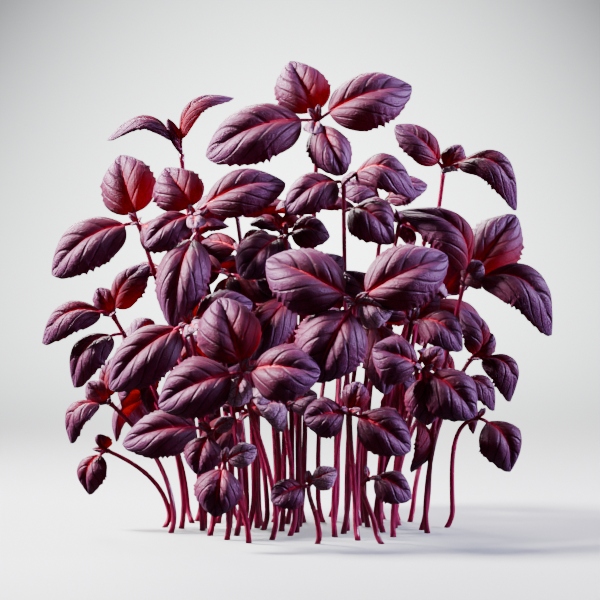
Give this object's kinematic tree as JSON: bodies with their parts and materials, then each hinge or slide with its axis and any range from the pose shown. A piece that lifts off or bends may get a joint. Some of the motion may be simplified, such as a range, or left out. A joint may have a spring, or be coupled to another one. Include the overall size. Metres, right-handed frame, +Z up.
{
  "type": "purple basil bunch",
  "caption": "Bunch of young purple basil standing on its level cut ends: slender square stems, each with a few domed, toothed, ovate leaves on short stalks round its head.",
  "frame": {"origin": "on the surface the bunch stands on, in the middle of the cut end of its tallest stem", "axes": "+Z up, +X to the right along the bunch's longest side, -Y to the front"},
  "size_m": [0.1151, 0.0791, 0.1072],
  "materials": {
    "leaf": "velvety dark purple leaf with crimson midribs; stands in for living leaf",
    "stem": "smooth crimson to maroon stem; stands in for living stem"
  },
  "bodies": {
    "root": {"leafy_stem_01": "leaf", "leafy_stem_02": "leaf", "leafy_stem_03": "leaf", "leafy_stem_04": "leaf", "leafy_stem_05": "leaf", "leafy_stem_06": "leaf", "leafy_stem_07": "leaf", "leafy_stem_08": "leaf", "leafy_stem_09": "leaf", "leafy_stem_10": "leaf", "leafy_stem_11": "leaf", "leafy_stem_12": "leaf", "leafy_stem_13": "leaf", "leafy_stem_14": "leaf", "leafy_stem_15": "leaf", "leafy_stem_16": "leaf", "leafy_stem_17": "leaf", "leafy_stem_18": "leaf", "leafy_stem_19": "leaf", "leafy_stem_20": "leaf", "leafy_stem_21": "leaf", "leafy_stem_22": "leaf", "leafy_stem_23": "leaf", "leafy_stem_24": "leaf", "leafy_stem_25": "leaf", "leafy_stem_26": "leaf", "leafy_stem_27": "leaf", "leafy_stem_28": "leaf", "leafy_stem_29": "leaf", "leafy_stem_30": "leaf", "leafy_stem_31": "leaf", "leafy_stem_32": "leaf", "leafy_stem_33": "leaf", "leafy_stem_34": "leaf", "leafy_stem_35": "leaf", "leafy_stem_36": "leaf", "leafy_stem_37": "leaf", "leafy_stem_38": "leaf", "leafy_stem_39": "leaf", "leafy_stem_40": "leaf", "leafy_stem_41": "leaf", "leafy_stem_42": "leaf", "leafy_stem_43": "leaf", "leafy_stem_44": "leaf", "leafy_stem_45": "leaf", "leafy_stem_46": "leaf", "leafy_stem_47": "leaf", "leafy_stem_48": "leaf", "leafy_stem_49": "leaf", "leafy_stem_50": "leaf", "leafy_stem_51": "leaf", "leafy_stem_52": "leaf", "leafy_stem_53": "leaf", "leafy_stem_54": "leaf", "leafy_stem_55": "leaf", "leafy_stem_56": "leaf", "leafy_stem_57": "leaf", "leafy_stem_58": "leaf"}
  },
  "joints": []
}
